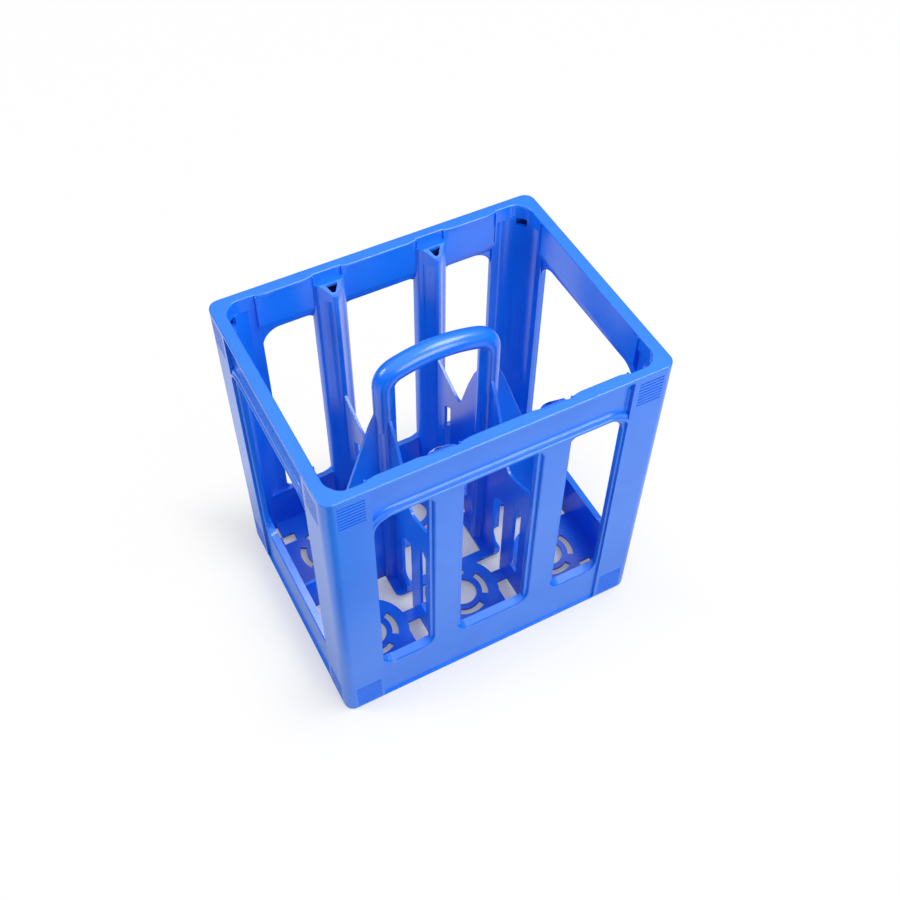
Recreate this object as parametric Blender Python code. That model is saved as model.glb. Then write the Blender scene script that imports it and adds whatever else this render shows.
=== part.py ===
# Six-bottle crate with a fixed centre handle, moulded in blue polyethylene.
# Units are metres. The origin is the bottom centre, +X runs along the three-bottle side,
# -Y is the front wall and +Z is up.

import math

import bmesh
import bpy
from mathutils import Matrix, Vector

MM = 0.001

# Driving dimensions of the crate
LENGTH = 300 * MM
WIDTH = 228 * MM
HEIGHT = 320 * MM
CORNER_RADIUS = 9.5 * MM
GAP = 0.3 * MM

# Bottle grid: three bottles along the crate, two across
PITCH_X = 97 * MM
PITCH_Y = 106 * MM
POST_X = PITCH_X / 2
COLUMN_X = 47.8 * MM

# Outer walls
WALL_DEPTH = 10.6 * MM
THIN_WALL = 6 * MM
BAND_RECESS = 4.3 * MM
POCKET_DEPTH = 2 * MM
RIM_THICKNESS = 3 * MM
FOOT_HEIGHT = 3 * MM
FOOT_INSET = 0.6 * MM
WINDOW_BOTTOM = 55 * MM
WINDOW_TOP = 278 * MM
WINDOW_TOP_INSIDE = 273.5 * MM
BAND_CREASE = 284 * MM
BAND_LOW = 260 * MM
RAIL_HIGH = 67 * MM
MIDDLE_WINDOW_HALF = 38.75 * MM
OUTER_WINDOW_START = 58.25 * MM
OUTER_WINDOW_END = 112 * MM
END_WINDOW_HALF = 76 * MM
WALL_HALF_LENGTH = 116 * MM
END_WALL_HALF_LENGTH = 80 * MM
SILL_RADIUS = 12 * MM
POST_RADIUS = 9 * MM
SWEEP_RADIUS = 18 * MM

# Wall columns and corner cradles
COLUMN_HALF_BASE = 15 * MM
COLUMN_NOSE_Y = 88 * MM
COLUMN_TOP = 311.3 * MM
COLUMN_SLOPE_Y = 98 * MM
COLUMN_SLOPE = 1.06
CRADLE_TOP = 306.5 * MM
COLUMN_POCKET = 12.4 * MM
CRADLE_RADIUS = 30 * MM
CRADLE_SHELL = 3 * MM
CORNER_SHELL = 4 * MM
GRIP_COUNT = 8
GRIP_PITCH = 3.5 * MM
GRIP_START = 287 * MM
GRIP_WIDTH = 22 * MM
GRIP_DEPTH = 0.8 * MM
GRIP_EDGE_X = 117 * MM
GRIP_EDGE_Y = 81 * MM

# Floor
FLOOR_TOP = 8 * MM
FLOOR_THICKNESS = 3 * MM
REST_HOLE_RADIUS = 14 * MM
REST_SLOT_INNER = 19.5 * MM
REST_SLOT_OUTER = 25.5 * MM
REST_RADIUS = 36 * MM
BAR_HALF_WIDTH = 6 * MM

# Handle, posts and dividers
HANDLE_RADIUS = 9.4 * MM
HANDLE_CROWN = 303 * MM
HANDLE_SHOULDER = 298 * MM
HANDLE_BEND = 16.5 * MM
LEG_BOTTOM = 242 * MM
FIN_HALF = 3 * MM
FLUTE_TOP = 226 * MM
DIVIDER_THICKNESS = 3 * MM


def clear_scene():
    for item in list(bpy.data.objects):
        bpy.data.objects.remove(item, do_unlink=True)


def collection(name):
    group = bpy.data.collections.new(name)
    bpy.context.scene.collection.children.link(group)
    return group


def plastic(name, colour, roughness):
    material = bpy.data.materials.new(name)
    material.use_nodes = True
    shader = material.node_tree.nodes["Principled BSDF"]
    shader.inputs["Base Color"].default_value = (*colour, 1.0)
    shader.inputs["Roughness"].default_value = roughness
    shader.inputs["Metallic"].default_value = 0.0
    return material


def link(name, mesh, group, material=None):
    item = bpy.data.objects.new(name, mesh)
    group.objects.link(item)
    if material:
        item.data.materials.append(material)
    return item


def as_cutter(item):
    item.hide_render = True
    item.display_type = "WIRE"
    return item


def arc(centre, radius, start, end, steps):
    """Points along a circular arc, angles in degrees, both ends included."""
    points = []
    for i in range(steps + 1):
        angle = math.radians(start + (end - start) * i / steps)
        points.append((centre[0] + radius * math.cos(angle), centre[1] + radius * math.sin(angle)))
    return points


def rounded_rect(x0, x1, y0, y1, radii, steps=4):
    """Counter-clockwise outline, with radii for the lower left, lower right, upper right and upper left."""
    corners = ((x0, y0, 180), (x1, y0, 270), (x1, y1, 0), (x0, y1, 90))
    inward = ((1, 1), (-1, 1), (-1, -1), (1, -1))
    points = []
    for (x, y, start), (sx, sy), radius in zip(corners, inward, radii):
        if radius <= 0:
            points.append((x, y))
        else:
            centre = (x + sx * radius, y + sy * radius)
            points.extend(arc(centre, radius, start, start + 90, steps))
    return points


def mirrored(points, flip_x, flip_y):
    flipped = [(-x if flip_x else x, -y if flip_y else y) for x, y in points]
    return flipped[::-1] if flip_x != flip_y else flipped


def outline_mesh(name, loops, low, high):
    """A flat outline with holes, drawn as a 2D curve in XY and extruded from low to high along Z."""
    curve = bpy.data.curves.new(name, "CURVE")
    curve.dimensions = "2D"
    curve.fill_mode = "BOTH"
    curve.extrude = (high - low) / 2
    for loop in loops:
        spline = curve.splines.new("POLY")
        spline.points.add(len(loop) - 1)
        for point, (x, y) in zip(spline.points, loop):
            point.co = (x, y, 0, 1)
        spline.use_cyclic_u = True
    drawn = bpy.data.objects.new(name + "_outline", curve)
    bpy.context.scene.collection.objects.link(drawn)
    bpy.context.view_layer.update()
    evaluated = drawn.evaluated_get(bpy.context.evaluated_depsgraph_get())
    mesh = bpy.data.meshes.new_from_object(evaluated)
    bpy.data.objects.remove(drawn, do_unlink=True)
    body = bmesh.new()
    body.from_mesh(mesh)
    bmesh.ops.remove_doubles(body, verts=body.verts, dist=0.00001)
    bmesh.ops.translate(body, verts=body.verts, vec=(0, 0, (high + low) / 2))
    bmesh.ops.recalc_face_normals(body, faces=body.faces)
    body.to_mesh(mesh)
    body.free()
    mesh.name = name
    return mesh


def box_mesh(name, low, high):
    body = bmesh.new()
    bmesh.ops.create_cube(body, size=1)
    size = [b - a for a, b in zip(low, high)]
    middle = [(a + b) / 2 for a, b in zip(low, high)]
    bmesh.ops.scale(body, verts=body.verts, vec=size)
    bmesh.ops.translate(body, verts=body.verts, vec=middle)
    mesh = bpy.data.meshes.new(name)
    body.to_mesh(mesh)
    body.free()
    return mesh


def cylinder_mesh(name, centre, radius, low, high, segments):
    body = bmesh.new()
    bmesh.ops.create_cone(body, cap_ends=True, segments=segments, radius1=radius, radius2=radius,
                          depth=high - low)
    bmesh.ops.translate(body, verts=body.verts, vec=(centre[0], centre[1], (low + high) / 2))
    mesh = bpy.data.meshes.new(name)
    body.to_mesh(mesh)
    body.free()
    return mesh


def boolean(item, tool, operation):
    modifier = item.modifiers.new(operation.lower() + "_" + tool.name, "BOOLEAN")
    modifier.operation = operation
    modifier.solver = "EXACT"
    modifier.object = tool
    as_cutter(tool)


def cut_box(item, low, high, tools, name="cut"):
    boolean(item, link(item.name + "_" + name, box_mesh(name, low, high), tools), "DIFFERENCE")


def join_box(item, low, high, tools, name="join"):
    boolean(item, link(item.name + "_" + name, box_mesh(name, low, high), tools), "UNION")


def smooth(item, degrees=35):
    item.data.shade_smooth()
    item.data.set_sharp_from_angle(angle=math.radians(degrees))


clear_scene()
crate = collection("bottle_crate")
tools = collection("cutters")
BLUE = (0.008, 0.2, 0.91)


def finish(name):
    return plastic(name, BLUE, 0.38)


# Each wall is a bottom rail and an upper band, with window posts between them on the long sides.
WALL_LOW = FOOT_HEIGHT
WALL_HIGH = HEIGHT - RIM_THICKNESS - GAP


def window(x0, x1, left_radius, right_radius, top):
    radii = (SILL_RADIUS, SILL_RADIUS, right_radius, left_radius)
    return rounded_rect(x0, x1, WINDOW_BOTTOM, top, radii)


def window_mesh(name, x0, x1, left_radius, right_radius, outer):
    """A window cutter whose top slopes: lower at the thin wall's inner face than at the outer face."""
    slope = (WINDOW_TOP - WINDOW_TOP_INSIDE) / THIN_WALL
    body = bmesh.new()
    rings = []
    for depth in (outer - WALL_DEPTH - 2 * MM, outer - THIN_WALL, outer + 2 * MM):
        top = WINDOW_TOP + slope * max(depth - outer, -THIN_WALL)
        points = window(x0, x1, left_radius, right_radius, top)
        rings.append([body.verts.new((x, y, depth)) for x, y in points])
    for lower, upper in zip(rings, rings[1:]):
        for i in range(len(lower)):
            j = (i + 1) % len(lower)
            body.faces.new((lower[i], lower[j], upper[j], upper[i]))
    body.faces.new(rings[0][::-1])
    body.faces.new(rings[-1])
    bmesh.ops.recalc_face_normals(body, faces=body.faces)
    mesh = bpy.data.meshes.new(name)
    body.to_mesh(mesh)
    body.free()
    return mesh


def crosswise(mesh):
    """Turns an extruded outline so that it was drawn in YZ and extruded along X."""
    mesh.transform(Matrix(((0, 0, 1, 0), (1, 0, 0, 0), (0, 1, 0, 0), (0, 0, 0, 1))))
    return mesh


def along_wall(name, profile, start, end):
    """A cross-section of (height, depth) pairs, extruded along a wall."""
    return crosswise(outline_mesh(name, [profile], start, end))


def wall_member(name, profile, half, windows, outer, turn, cuts):
    """A rail or a band in its wall's own plane: x along it, y up, z outwards."""
    item = link(name, along_wall(name, profile, -half + GAP, half - GAP), crate, finish(name))
    for label, start, end in cuts:
        cut_box(item, start, end, tools, label)
    for number, opening in enumerate(windows):
        cutter = window_mesh(f"{name}_window_{number}", *opening, outer)
        boolean(item, link(cutter.name, cutter, tools), "DIFFERENCE")
    item.rotation_euler = (math.pi / 2, 0, turn)
    for modifier in item.modifiers:
        modifier.object.rotation_euler = item.rotation_euler
    return item


def bottom_rail(name, half, window_end, outer, windows, turn, hollows):
    """A deep hollow rail under the windows, with the round lower corners of the windows on top."""
    low = outer - WALL_DEPTH
    profile = [(WALL_LOW, low), (WINDOW_BOTTOM, low), (WINDOW_BOTTOM, outer - THIN_WALL),
               (RAIL_HIGH, outer - THIN_WALL), (RAIL_HIGH, outer), (WALL_LOW, outer)]
    cuts = []
    for number, (start, end) in enumerate(hollows):
        cuts.append((f"hollow_{number}", (start, -FOOT_HEIGHT, low + 3 * MM),
                     (end, WINDOW_BOTTOM - 3.5 * MM, outer - 3 * MM)))
    for side in (-1, 1):
        start, end = sorted((side * (window_end - GAP), side * (half + WALL_DEPTH)))
        cuts.append((f"corner_{side}", (start, WINDOW_BOTTOM, low - WALL_DEPTH), (end, HEIGHT, outer + WALL_DEPTH)))
    return wall_member(name, profile, half, windows, outer, turn, cuts)


def upper_band(name, window_end, outer, windows, turn, pockets):
    """The band over the windows: a slanted ledge with a hollow fillet, and a flat face set back behind it."""
    low, thin = outer - WALL_DEPTH, outer - THIN_WALL
    back = outer - BAND_RECESS
    profile = [(BAND_LOW, thin), (WINDOW_TOP_INSIDE, thin), (BAND_CREASE, low), (WALL_HIGH, low),
               (WALL_HIGH, back), (292 * MM, back), (289.8 * MM, back + 0.6 * MM),
               (288 * MM, back + 1.5 * MM), (287 * MM, back + 2.7 * MM), (WINDOW_TOP, outer), (BAND_LOW, outer)]
    cuts = [(f"pocket_{number}", (start, COLUMN_TOP - 1 * MM, low - WALL_DEPTH), (end, HEIGHT, low + POCKET_DEPTH))
            for number, (start, end) in enumerate(pockets)]
    return wall_member(name, profile, window_end, windows, outer, turn, cuts)


def spans(edges, rib):
    """Pocket spans between upright ribs of the given half thickness."""
    return [(a + rib, b - rib) for a, b in zip(edges, edges[1:])]


rib = 1.5 * MM
long_windows = [
    (-OUTER_WINDOW_END, -OUTER_WINDOW_START, SWEEP_RADIUS, POST_RADIUS),
    (-MIDDLE_WINDOW_HALF, MIDDLE_WINDOW_HALF, POST_RADIUS, POST_RADIUS),
    (OUTER_WINDOW_START, OUTER_WINDOW_END, POST_RADIUS, SWEEP_RADIUS),
]
long_hollows = spans([-115 * MM, -POST_X, POST_X, 115 * MM], rib)
long_pockets = [(centre - COLUMN_POCKET, centre + COLUMN_POCKET) for centre in (-COLUMN_X, COLUMN_X)]
end_windows = [(-END_WINDOW_HALF, END_WINDOW_HALF, SWEEP_RADIUS, SWEEP_RADIUS)]
end_hollows = spans([-79 * MM, 0, 79 * MM], rib)
for label, turn in (("front", 0), ("back", math.pi)):
    outer = WIDTH / 2
    bottom_rail(label + "_rail", WALL_HALF_LENGTH, OUTER_WINDOW_END, outer, long_windows, turn, long_hollows)
    upper_band(label + "_band", OUTER_WINDOW_END, outer, long_windows, turn, long_pockets)
    # Two flat posts part the three windows.
    face = -1 if label == "front" else 1
    y0, y1 = sorted((face * outer, face * (outer - THIN_WALL)))
    for side, place in ((-1, "left"), (1, "right")):
        x0, x1 = sorted((side * MIDDLE_WINDOW_HALF, side * OUTER_WINDOW_START))
        name = f"window_post_{label}_{place}"
        link(name, box_mesh(name, (x0, y0, RAIL_HIGH + GAP), (x1, y1, BAND_LOW - GAP)), crate, finish(name))
for label, turn in (("right", math.pi / 2), ("left", -math.pi / 2)):
    bottom_rail(label + "_rail", END_WALL_HALF_LENGTH, END_WINDOW_HALF, LENGTH / 2, end_windows, turn, end_hollows)
    upper_band(label + "_band", END_WINDOW_HALF, LENGTH / 2, end_windows, turn, [])


# The stacking foot is a low frame, set in so that it nests inside the rim of a crate below.
foot_outer = rounded_rect(-LENGTH / 2 + FOOT_INSET, LENGTH / 2 - FOOT_INSET,
                          -WIDTH / 2 + FOOT_INSET, WIDTH / 2 - FOOT_INSET, [CORNER_RADIUS - FOOT_INSET] * 4)
foot_inner = rounded_rect(-LENGTH / 2 + WALL_DEPTH, LENGTH / 2 - WALL_DEPTH,
                          -WIDTH / 2 + WALL_DEPTH, WIDTH / 2 - WALL_DEPTH, [3 * MM] * 4, 2)
foot = link("stacking_foot", outline_mesh("stacking_foot", [foot_outer, foot_inner], 0, FOOT_HEIGHT - GAP),
            crate, finish("stacking_foot"))


# The rim is a flat ring. Its inner edge is wider along each bottle bay and narrow over the columns and corners.
RIM_BAY_Y = 102.8 * MM
RIM_POCKET_Y = 105.3 * MM
RIM_BAY_X = 139.6 * MM
RIM_POCKET_X = 137.4 * MM
BAY_TAPER = 9 * MM
CORNER_POCKET_X = OUTER_WINDOW_END
CORNER_POCKET_Y = END_WINDOW_HALF


def bay_edge(start, end, wide, narrow):
    """Inner rim edge along one bay, as (along, depth) pairs: tapered at both ends."""
    step = (narrow - wide) * 0.35
    return [(start, narrow), (start, narrow - step), (start + BAY_TAPER, wide),
            (end - BAY_TAPER, wide), (end, narrow - step), (end, narrow)]


def rim_quadrant():
    """Inner edge from the middle of the right side round to the middle of the back."""
    points = [(RIM_BAY_X, CORNER_POCKET_Y - 1 * MM), (RIM_POCKET_X, CORNER_POCKET_Y + 1.5 * MM)]
    corner = (RIM_POCKET_X - 7 * MM, RIM_POCKET_Y - 7 * MM)
    points += arc(corner, 7 * MM, 0, 90, 4)
    outer_bay = bay_edge(COLUMN_X + COLUMN_POCKET, CORNER_POCKET_X, RIM_BAY_Y, RIM_POCKET_Y)
    points += outer_bay[::-1]
    half_middle = COLUMN_X - COLUMN_POCKET
    middle_bay = bay_edge(-half_middle, half_middle, RIM_BAY_Y, RIM_POCKET_Y)
    points += [(along, depth) for along, depth in middle_bay[::-1] if along > 0]
    return points


quadrant = rim_quadrant()
rim_inner = (quadrant + mirrored(quadrant, True, False)
             + mirrored(quadrant, True, True) + mirrored(quadrant, False, True))
rim_outer = rounded_rect(-LENGTH / 2, LENGTH / 2, -WIDTH / 2, WIDTH / 2, [CORNER_RADIUS] * 4, 6)
rim = link("rim", outline_mesh("rim", [rim_outer, rim_inner], HEIGHT - RIM_THICKNESS, HEIGHT),
           crate, finish("rim"))


# Corner posts are angle sections with one rounded outer corner. Their edges frame the windows.
def corner_section():
    x1, y1 = LENGTH / 2, WIDTH / 2
    shell, step = CORNER_SHELL, THIN_WALL
    edge_x, edge_y = WALL_HALF_LENGTH - GAP, END_WALL_HALF_LENGTH - GAP
    centre = (x1 - CORNER_RADIUS, y1 - CORNER_RADIUS)
    return ([(x1 - step, END_WINDOW_HALF), (x1, END_WINDOW_HALF)] + arc(centre, CORNER_RADIUS, 0, 90, 5)
            + [(OUTER_WINDOW_END, y1), (OUTER_WINDOW_END, y1 - step), (edge_x, y1 - step), (edge_x, y1 - shell)]
            + arc(centre, CORNER_RADIUS - shell, 90, 0, 3)
            + [(x1 - shell, edge_y), (x1 - step, edge_y)])


def cradle_section(ledge):
    """The cradle's upright shell, or the ledge that closes it at the top."""
    wall_x = LENGTH / 2 - THIN_WALL - GAP
    wall_y = WIDTH / 2 - THIN_WALL - GAP
    centre = (wall_x - CRADLE_RADIUS, wall_y - CRADLE_RADIUS)
    front = arc(centre, CRADLE_RADIUS, 0, 90, 8)
    if ledge:
        reach_x = LENGTH / 2 - CORNER_SHELL - GAP
        reach_y = WIDTH / 2 - CORNER_SHELL - GAP
        edge_x = WALL_HALF_LENGTH
        edge_y = END_WALL_HALF_LENGTH
        nook = arc((reach_x - 6 * MM, reach_y - 6 * MM), 6 * MM, 90, 0, 3)
        return front + [(edge_x, wall_y), (edge_x, reach_y)] + nook + [(reach_x, edge_y), (wall_x, edge_y)]
    back = [(x, y) for x, y in arc(centre, CRADLE_RADIUS + CRADLE_SHELL, 80, 10, 8) if x < wall_x and y < wall_y]
    return front + [(back[0][0] - 1 * MM, wall_y)] + back + [(wall_x, back[-1][1] - 1 * MM)]


def comb_mesh(name, low, high):
    """A stack of thin boxes that cuts the grooves between grip ribs."""
    body = bmesh.new()
    for i in range(GRIP_COUNT):
        z = GRIP_START + i * GRIP_PITCH
        made = bmesh.ops.create_cube(body, size=1)
        size = (high[0] - low[0], high[1] - low[1], GRIP_PITCH / 2)
        bmesh.ops.scale(body, verts=made["verts"], vec=size)
        place = ((high[0] + low[0]) / 2, (high[1] + low[1]) / 2, z)
        bmesh.ops.translate(body, verts=made["verts"], vec=place)
    mesh = bpy.data.meshes.new(name)
    body.to_mesh(mesh)
    body.free()
    return mesh


def cut_grips(post, side_x, side_y):
    """Grooves on both outer faces of a corner post, near its top."""
    reach = 5 * MM
    depth_x = LENGTH / 2 - GRIP_DEPTH
    depth_y = WIDTH / 2 - GRIP_DEPTH
    faces = (("end", (depth_x, GRIP_EDGE_Y), (LENGTH / 2 + reach, GRIP_EDGE_Y + GRIP_WIDTH)),
             ("side", (GRIP_EDGE_X, depth_y), (GRIP_EDGE_X + GRIP_WIDTH, WIDTH / 2 + reach)))
    for label, low, high in faces:
        x0, x1 = sorted((side_x * low[0], side_x * high[0]))
        y0, y1 = sorted((side_y * low[1], side_y * high[1]))
        tool = link(f"{post.name}_{label}_grips", comb_mesh("grips", (x0, y0), (x1, y1)), tools)
        boolean(post, tool, "DIFFERENCE")


def clear_of_wall(item, axis, side, face):
    """Keeps an upright clear of the deep bottom rail of the wall on one side."""
    near, far = sorted((side * (face - WALL_DEPTH - GAP), side * (face + WALL_DEPTH)))
    low, high = [-LENGTH, -LENGTH, 0], [LENGTH, LENGTH, WINDOW_BOTTOM + GAP]
    low[axis], high[axis] = near, far
    cut_box(item, low, high, tools, "rail_" + "xy"[axis])


ledge_low = CRADLE_TOP - CRADLE_SHELL
for label, flip_x, flip_y in (("front_left", True, True), ("front_right", False, True),
                              ("back_right", False, False), ("back_left", True, False)):
    name = "corner_post_" + label
    post = link(name, outline_mesh(name, [mirrored(corner_section(), flip_x, flip_y)], WALL_LOW, WALL_HIGH),
                crate, finish(name))
    side_x, side_y = (-1 if flip_x else 1), (-1 if flip_y else 1)
    cut_grips(post, side_x, side_y)
    for axis, side, edge in ((0, side_x, WALL_HALF_LENGTH), (1, side_y, END_WALL_HALF_LENGTH)):
        low, high = [-LENGTH, -LENGTH, 0], [LENGTH, LENGTH, WINDOW_BOTTOM + GAP]
        low[axis], high[axis] = sorted((0, side * edge))
        cut_box(post, low, high, tools, "rail_" + "xy"[axis])
    name = "corner_cradle_" + label
    upright = mirrored(cradle_section(False), flip_x, flip_y)
    cradle = link(name, outline_mesh(name, [upright], FLOOR_TOP + GAP, ledge_low + 1 * MM),
                  crate, finish(name))
    ledge = mirrored(cradle_section(True), flip_x, flip_y)
    drain = mirrored(rounded_rect(136 * MM, 140 * MM, 100.5 * MM, 104.5 * MM, (0, 0, 0, 0)), flip_x, flip_y)
    boolean(cradle, link(name + "_ledge", outline_mesh(name + "_ledge", [ledge, drain], ledge_low, CRADLE_TOP),
                         tools), "UNION")
    for axis, side, face in ((0, side_x, LENGTH / 2), (1, side_y, WIDTH / 2)):
        clear_of_wall(cradle, axis, side, face)


# Wall columns: hollow three-sided uprights behind the window posts, with flanks that cradle the bottles.
def column_section():
    base_y = WIDTH / 2 - THIN_WALL - GAP
    shoulder = (12.4 * MM, 101.6 * MM)
    nose = (2.3 * MM, COLUMN_NOSE_Y + 0.6 * MM)
    sag = 0.5 * MM
    flank = []
    run = Vector(nose) - Vector(shoulder)
    normal = Vector((-run.y, run.x)).normalized()
    for i in range(5):
        t = i / 4
        point = Vector(shoulder) + run * t - normal * (4 * sag * t * (1 - t))
        flank.append((point.x, point.y))
    root = [(COLUMN_HALF_BASE, base_y), (14.2 * MM, 104.6 * MM)]
    half = root + flank + [(1.3 * MM, COLUMN_NOSE_Y)]
    return half + [(-x, y) for x, y in half[::-1]]


def column_bore():
    return [(-5.5 * MM, 97.5 * MM), (5.5 * MM, 97.5 * MM), (1.4 * MM, 92.1 * MM), (-1.4 * MM, 92.1 * MM)]


def slanted_top_mesh(name, side):
    """All that stands above the column's slanted top, which falls from the wall towards the nose."""
    rise, reach = 1 * MM, 18 * MM
    profile = [(side * (COLUMN_SLOPE_Y + rise), COLUMN_TOP + COLUMN_SLOPE * rise),
               (side * (COLUMN_SLOPE_Y - reach), COLUMN_TOP - COLUMN_SLOPE * reach),
               (side * (COLUMN_SLOPE_Y - reach), HEIGHT), (side * (COLUMN_SLOPE_Y + rise), HEIGHT)]
    return crosswise(outline_mesh(name, [profile], -LENGTH, LENGTH))


def band_root_mesh(name, side):
    """The room that the wall's upper band takes behind a column, with the gap."""
    thin = WIDTH / 2 - THIN_WALL - GAP
    deep = WIDTH / 2 - WALL_DEPTH - GAP
    profile = [(side * (thin + 4 * MM), WINDOW_TOP_INSIDE - GAP), (side * (thin + 4 * MM), HEIGHT),
               (side * deep, HEIGHT), (side * deep, BAND_CREASE - GAP), (side * thin, WINDOW_TOP_INSIDE - GAP)]
    return crosswise(outline_mesh(name, [profile], -LENGTH, LENGTH))


def shifted(points, dx):
    return [(x + dx, y) for x, y in points]


for label, side_x, flip_y in (("front_left", -1, True), ("front_right", 1, True),
                              ("back_left", -1, False), ("back_right", 1, False)):
    name = "wall_column_" + label
    loops = [mirrored(shifted(section, side_x * COLUMN_X), False, flip_y)
             for section in (column_section(), column_bore())]
    column = link(name, outline_mesh(name, loops, FLOOR_TOP + GAP, COLUMN_TOP), crate, finish(name))
    clear_of_wall(column, 1, -1 if flip_y else 1, WIDTH / 2)
    band = band_root_mesh(name + "_band", -1 if flip_y else 1)
    boolean(column, link(band.name, band, tools), "DIFFERENCE")
    slant = slanted_top_mesh(name + "_slant", -1 if flip_y else 1)
    boolean(column, link(slant.name, slant, tools), "DIFFERENCE")


# Floor: a slotted rest ring under each bottle, tied by bars and by a foot plate under each post.
def arc_slot(centre, middle):
    half = 31
    outer = arc(centre, REST_SLOT_OUTER, middle - half, middle + half, 6)
    inner = arc(centre, REST_SLOT_INNER, middle + half, middle - half, 6)
    return outer + inner


def bottle_rest(name, column, row):
    centre = (column * PITCH_X, row * PITCH_Y / 2)
    low, high = FLOOR_TOP - FLOOR_THICKNESS, FLOOR_TOP
    wall_y = WIDTH / 2 - WALL_DEPTH - GAP
    wall_x = LENGTH / 2 - WALL_DEPTH - GAP
    item = link(name, cylinder_mesh(name, centre, REST_RADIUS, low, high, 36), crate, finish(name))
    # A tongue carries the ring to the long wall.
    tongue = 33 * MM
    join_box(item, (centre[0] - tongue, min(row * wall_y, centre[1] + row * 14 * MM), low),
             (centre[0] + tongue, max(row * wall_y, centre[1] + row * 14 * MM), high), tools, "tongue")
    if column:
        inner = centre[0] + column * 14 * MM
        join_box(item, (min(inner, column * wall_x), centre[1] - tongue, low),
                 (max(inner, column * wall_x), centre[1] + tongue, high), tools, "end_tongue")
    else:
        inner, outer = sorted((row * 19 * MM, row * 29 * MM))
        join_box(item, (-REST_RADIUS, inner, low), (REST_RADIUS, outer, high), tools, "shoulder")
    loops = [arc(centre, REST_HOLE_RADIUS, 0, 345, 23)]
    loops += [arc_slot(centre, angle) for angle in (0, 90, 180, 270)]
    for number, loop in enumerate(loops):
        label = f"{name}_opening_{number}"
        boolean(item, link(label, outline_mesh(label, [loop], low - 2 * MM, high + 2 * MM), tools), "DIFFERENCE")
    if column:
        # The corner of an end ring is open for drainage.
        x0, x1 = sorted((column * 118 * MM, column * 131 * MM))
        y0, y1 = sorted((row * 76 * MM, row * 86 * MM))
        cut_box(item, (x0, y0, low - 2 * MM), (x1, y1, high + 2 * MM), tools, "drain")
    return item


COLUMN_NAMES = {-1: "left", 0: "middle", 1: "right"}
ROW_NAMES = {-1: "front", 1: "back"}
for row in ROW_NAMES:
    for column in COLUMN_NAMES:
        bottle_rest(f"bottle_rest_{ROW_NAMES[row]}_{COLUMN_NAMES[column]}", column, row)

for side, label in ((-1, "left"), (1, "right")):
    centre_x = side * POST_X
    low, high = FLOOR_TOP - FLOOR_THICKNESS, FLOOR_TOP
    name = "post_foot_" + label
    inner, half = REST_RADIUS + GAP, 9.5 * MM
    plate = [(inner, -29 * MM), (POST_X + half, -29 * MM), (POST_X + half, 29 * MM), (inner, 29 * MM),
             (inner, 19 * MM), (POST_X - half, 19 * MM), (POST_X - half, -19 * MM), (inner, -19 * MM)]
    foot_plate = link(name, outline_mesh(name, [mirrored(plate, side < 0, False)], low, high), crate, finish(name))
    for row in (-1, 1):
        x0, x1 = sorted((side * (REST_RADIUS + GAP), side * (PITCH_X - REST_RADIUS - GAP)))
        middle = row * PITCH_Y / 2
        bar_name = f"floor_bar_{ROW_NAMES[row]}_{label}"
        bar = box_mesh(bar_name, (x0, middle - BAR_HALF_WIDTH, low), (x1, middle + BAR_HALF_WIDTH, high))
        link(bar_name, bar, crate, finish(bar_name))


# Handle: a round bow, slightly arched, whose legs run down into the posts.
def handle_path():
    """Right half of the centre line from the crown down to the leg's end, as (x, z)."""
    points = []
    bend_centre = (POST_X - HANDLE_BEND, HANDLE_SHOULDER - HANDLE_BEND)
    crown_steps = 5
    for i in range(crown_steps):
        x = bend_centre[0] * i / crown_steps
        drop = (HANDLE_CROWN - HANDLE_SHOULDER) * (x / bend_centre[0]) ** 2
        points.append((x, HANDLE_CROWN - drop))
    points += arc(bend_centre, HANDLE_BEND, 90, 0, 7)
    points.append((POST_X, (bend_centre[1] + LEG_BOTTOM) / 2))
    points.append((POST_X, LEG_BOTTOM + GAP))
    return points


def round_bow(name):
    half = handle_path()
    route = [(-x, z) for x, z in half[:0:-1]] + half
    curve = bpy.data.curves.new(name, "CURVE")
    curve.dimensions = "3D"
    curve.bevel_depth = HANDLE_RADIUS
    curve.bevel_resolution = 6
    curve.use_fill_caps = True
    spline = curve.splines.new("POLY")
    spline.points.add(len(route) - 1)
    for point, (x, z) in zip(spline.points, route):
        point.co = (x, 0, z, 1)
    drawn = bpy.data.objects.new(name + "_path", curve)
    bpy.context.scene.collection.objects.link(drawn)
    bpy.context.view_layer.update()
    evaluated = drawn.evaluated_get(bpy.context.evaluated_depsgraph_get())
    mesh = bpy.data.meshes.new_from_object(evaluated)
    bpy.data.objects.remove(drawn, do_unlink=True)
    body = bmesh.new()
    body.from_mesh(mesh)
    bmesh.ops.remove_doubles(body, verts=body.verts, dist=0.00001)
    bmesh.ops.recalc_face_normals(body, faces=body.faces)
    body.to_mesh(mesh)
    body.free()
    item = link(name, mesh, crate, finish(name))
    smooth(item)
    return item


round_bow("handle_bow")


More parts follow.
